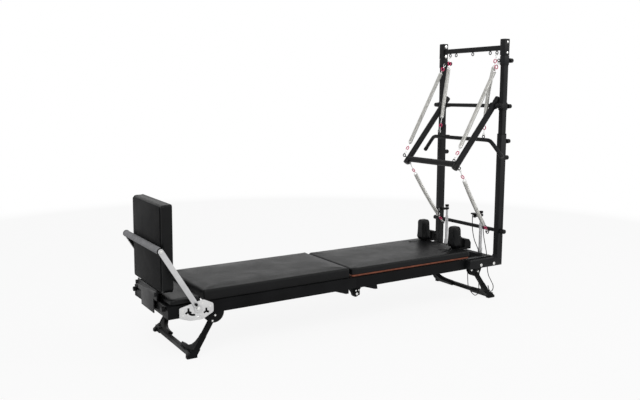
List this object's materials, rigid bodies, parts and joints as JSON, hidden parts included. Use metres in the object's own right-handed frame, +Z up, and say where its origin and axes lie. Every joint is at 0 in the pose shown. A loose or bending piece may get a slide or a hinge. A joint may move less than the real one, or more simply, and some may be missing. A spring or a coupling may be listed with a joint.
{
  "type": "pilates tower reformer",
  "caption": "Folding sprung exercise bed with a padded carriage, a jump board at its foot end and a half tower with hanging springs and bars at its head end.",
  "frame": {"origin": "on the floor, under the middle of the area that the whole object covers", "axes": "+Z up, +X along the bed towards the tower, so -X is the foot end and -Y the side nearest the picture's camera"},
  "size_m": [2.697, 0.8714, 1.918],
  "materials": {
    "black_frame": "satin powder coat",
    "bright_steel": "satin plated",
    "silver_paint": "satin silver",
    "black_plastic": "matt moulded",
    "foam": "closed-cell foam",
    "upholstery": "grained artificial leather",
    "plywood": "stained plywood edge",
    "rope": "braided",
    "spring_steel": "nickel plated wire"
  },
  "bodies": {
    "head_half": {"head_frame": "black_frame", "top_crossbar": "black_frame", "lower_crossbar": "black_frame", "lower_upright_near": "black_frame", "lower_upright_far": "black_frame", "upper_upright_near": "black_frame", "upper_upright_far": "black_frame", "top_sleeve_near": "black_frame", "top_sleeve_far": "black_frame", "band_sleeve_near": "black_frame", "band_sleeve_far": "black_frame", "riser_near": "bright_steel", "riser_far": "bright_steel", "long_spring_near": "spring_steel", "long_spring_far": "spring_steel", "low_spring_near": "spring_steel", "low_spring_far": "spring_steel", "rope_near": "rope", "rope_near_rear": "rope", "rope_far": "rope"},
    "foot_half": {"foot_frame": "black_frame", "foot_platform_pad": "upholstery", "footbar_gear_near": "bright_steel", "footbar_gear_far": "bright_steel"},
    "foot_leg": {"foot_leg_frame": "black_frame"},
    "head_leg": {"head_leg_frame": "black_frame"},
    "footbar": {"footbar_frame": "silver_paint", "footbar_grip": "foam"},
    "footbar_pin": {"footbar_pin": "black_plastic"},
    "jump_board": {"jump_board_pad": "upholstery", "jump_board_bracket": "black_frame"},
    "end_knob_near": {"end_knob_near": "black_plastic"},
    "end_knob_far": {"end_knob_far": "black_plastic"},
    "mat": {"mat_pad": "upholstery"},
    "carriage": {"carriage_board": "plywood", "carriage_pad": "upholstery", "carriage_truck": "black_frame", "bed_springs": "spring_steel"},
    "shoulder_rest_near": {"shoulder_pad_near": "upholstery", "shoulder_base_near": "black_plastic"},
    "shoulder_rest_far": {"shoulder_pad_far": "upholstery", "shoulder_base_far": "black_plastic"},
    "push_through_bar": {"push_through_bar": "black_frame"},
    "roll_springs": {"roll_spring_near": "spring_steel", "roll_spring_far": "spring_steel"},
    "roll_down_bar": {"roll_down_bar": "black_frame"},
    "carriage_wheel_near_foot": {"carriage_wheel_near_foot": "black_plastic"},
    "carriage_wheel_near_head": {"carriage_wheel_near_head": "black_plastic"},
    "carriage_wheel_far_foot": {"carriage_wheel_far_foot": "black_plastic"},
    "carriage_wheel_far_head": {"carriage_wheel_far_head": "black_plastic"},
    "telescope_pin_near": {"telescope_pin_near": "bright_steel"},
    "telescope_pin_far": {"telescope_pin_far": "bright_steel"},
    "band_sleeve_pin_near": {"band_sleeve_pin_near": "black_plastic"},
    "band_sleeve_pin_far": {"band_sleeve_pin_far": "black_plastic"},
    "top_sleeve_pin_near": {"top_sleeve_pin_near": "black_plastic"},
    "top_sleeve_pin_far": {"top_sleeve_pin_far": "black_plastic"},
    "pulley_near": {"pulley_near": "black_plastic"},
    "pulley_far": {"pulley_far": "black_plastic"}
  },
  "joints": [
    {"name": "bed_fold", "type": "hinge", "parent": "head_half", "child": "foot_half", "pos_m": [0.0155, 0, 0.218], "axis": [0, -1, 0], "range_deg": [0, 140]},
    {"name": "foot_leg_fold", "type": "hinge", "parent": "foot_half", "child": "foot_leg", "pos_m": [-0.9975, 0, 0.239], "axis": [0, -1, 0], "range_deg": [0, 117]},
    {"name": "head_leg_fold", "type": "hinge", "parent": "head_half", "child": "head_leg", "pos_m": [1.0805, 0, 0.239], "axis": [0, 1, 0], "range_deg": [0, 122]},
    {"name": "footbar_swing", "type": "hinge", "parent": "foot_half", "child": "footbar", "pos_m": [-1.1095, 0, 0.304], "axis": [0, -1, 0], "range_deg": [0, 75]},
    {"name": "footbar_pin_pull", "type": "slide", "parent": "footbar", "child": "footbar_pin", "axis": [0, -1, 0], "range_m": [0, 0.008], "stiffness_N_per_m": 500, "springref_m": -0.004},
    {"name": "jump_board_lift", "type": "slide", "parent": "foot_half", "child": "jump_board", "axis": [0, 0, 1], "range_m": [0, 0.2]},
    {"name": "mat_lift", "type": "slide", "parent": "foot_half", "child": "mat", "axis": [0, 0, 1], "range_m": [0, 0.2]},
    {"name": "carriage_slide", "type": "slide", "parent": "head_half", "child": "carriage", "axis": [1, 0, 0], "range_m": [0, 0.035]},
    {"name": "push_bar_swing", "type": "hinge", "parent": "head_half", "child": "push_through_bar", "pos_m": [1.2425, 0, 1.445], "axis": [0, 1, 0], "range_deg": [-5, 45], "stiffness_Nm_per_rad": 150, "springref_deg": 3.59, "deforming": ["long_spring_near", "long_spring_far", "low_spring_near", "low_spring_far"]},
    {"name": "roll_bar_swing", "type": "hinge", "parent": "head_half", "child": "roll_springs", "pos_m": [1.2835, 0, 1.82], "axis": [0, 1, 0], "range_deg": [0, 5]},
    {"name": "roll_bar_pull", "type": "slide", "parent": "roll_springs", "child": "roll_down_bar", "axis": [-0.1744, 0, -0.9847], "range_m": [0, 0.2], "stiffness_N_per_m": 600, "springref_m": -0.03, "deforming": ["roll_spring_near", "roll_spring_far"]},
    {"name": "shoulder_rest_near_lift", "type": "slide", "parent": "carriage", "child": "shoulder_rest_near", "axis": [0, 0, 1], "range_m": [0, 0.12]},
    {"name": "end_knob_near_turn", "type": "hinge", "parent": "foot_half", "child": "end_knob_near", "pos_m": [-1.2855, -0.259, 0.311], "axis": [1, 0, 0], "continuous": true},
    {"name": "pulley_near_spin", "type": "hinge", "parent": "head_half", "child": "pulley_near", "pos_m": [1.1665, -0.191, 0.622], "axis": [0, 1, 0], "continuous": true},
    {"name": "telescope_pin_near_pull", "type": "slide", "parent": "head_half", "child": "telescope_pin_near", "axis": [1, 0, 0], "range_m": [0, 0.01], "stiffness_N_per_m": 500, "springref_m": -0.006},
    {"name": "band_sleeve_pin_near_pull", "type": "slide", "parent": "head_half", "child": "band_sleeve_pin_near", "axis": [1, 0, 0], "range_m": [0, 0.01], "stiffness_N_per_m": 500, "springref_m": -0.006},
    {"name": "top_sleeve_pin_near_pull", "type": "slide", "parent": "head_half", "child": "top_sleeve_pin_near", "axis": [1, 0, 0], "range_m": [0, 0.01], "stiffness_N_per_m": 500, "springref_m": -0.006},
    {"name": "shoulder_rest_far_lift", "type": "slide", "parent": "carriage", "child": "shoulder_rest_far", "axis": [0, 0, 1], "range_m": [0, 0.12]},
    {"name": "end_knob_far_turn", "type": "hinge", "parent": "foot_half", "child": "end_knob_far", "pos_m": [-1.2855, 0.259, 0.311], "axis": [1, 0, 0], "continuous": true},
    {"name": "pulley_far_spin", "type": "hinge", "parent": "head_half", "child": "pulley_far", "pos_m": [1.1665, 0.191, 0.622], "axis": [0, 1, 0], "continuous": true},
    {"name": "telescope_pin_far_pull", "type": "slide", "parent": "head_half", "child": "telescope_pin_far", "axis": [1, 0, 0], "range_m": [0, 0.01], "stiffness_N_per_m": 500, "springref_m": -0.006},
    {"name": "band_sleeve_pin_far_pull", "type": "slide", "parent": "head_half", "child": "band_sleeve_pin_far", "axis": [1, 0, 0], "range_m": [0, 0.01], "stiffness_N_per_m": 500, "springref_m": -0.006},
    {"name": "top_sleeve_pin_far_pull", "type": "slide", "parent": "head_half", "child": "top_sleeve_pin_far", "axis": [1, 0, 0], "range_m": [0, 0.01], "stiffness_N_per_m": 500, "springref_m": -0.006},
    {"name": "carriage_wheel_near_foot_roll", "type": "hinge", "parent": "carriage", "child": "carriage_wheel_near_foot", "pos_m": [0.1355, -0.288, 0.2843], "axis": [0, 1, 0], "range_deg": [0, 84]},
    {"name": "carriage_wheel_near_head_roll", "type": "hinge", "parent": "carriage", "child": "carriage_wheel_near_head", "pos_m": [0.9045, -0.288, 0.2843], "axis": [0, 1, 0], "range_deg": [0, 84]},
    {"name": "carriage_wheel_far_foot_roll", "type": "hinge", "parent": "carriage", "child": "carriage_wheel_far_foot", "pos_m": [0.1355, 0.288, 0.2843], "axis": [0, 1, 0], "range_deg": [0, 84]},
    {"name": "carriage_wheel_far_head_roll", "type": "hinge", "parent": "carriage", "child": "carriage_wheel_far_head", "pos_m": [0.9045, 0.288, 0.2843], "axis": [0, 1, 0], "range_deg": [0, 84]}
  ],
  "couplings": [
    {"joint": "carriage_wheel_near_foot_roll", "follows": "carriage_slide", "rad_per_m": 41.667},
    {"joint": "carriage_wheel_near_head_roll", "follows": "carriage_slide", "rad_per_m": 41.667},
    {"joint": "carriage_wheel_far_foot_roll", "follows": "carriage_slide", "rad_per_m": 41.667},
    {"joint": "carriage_wheel_far_head_roll", "follows": "carriage_slide", "rad_per_m": 41.667}
  ]
}
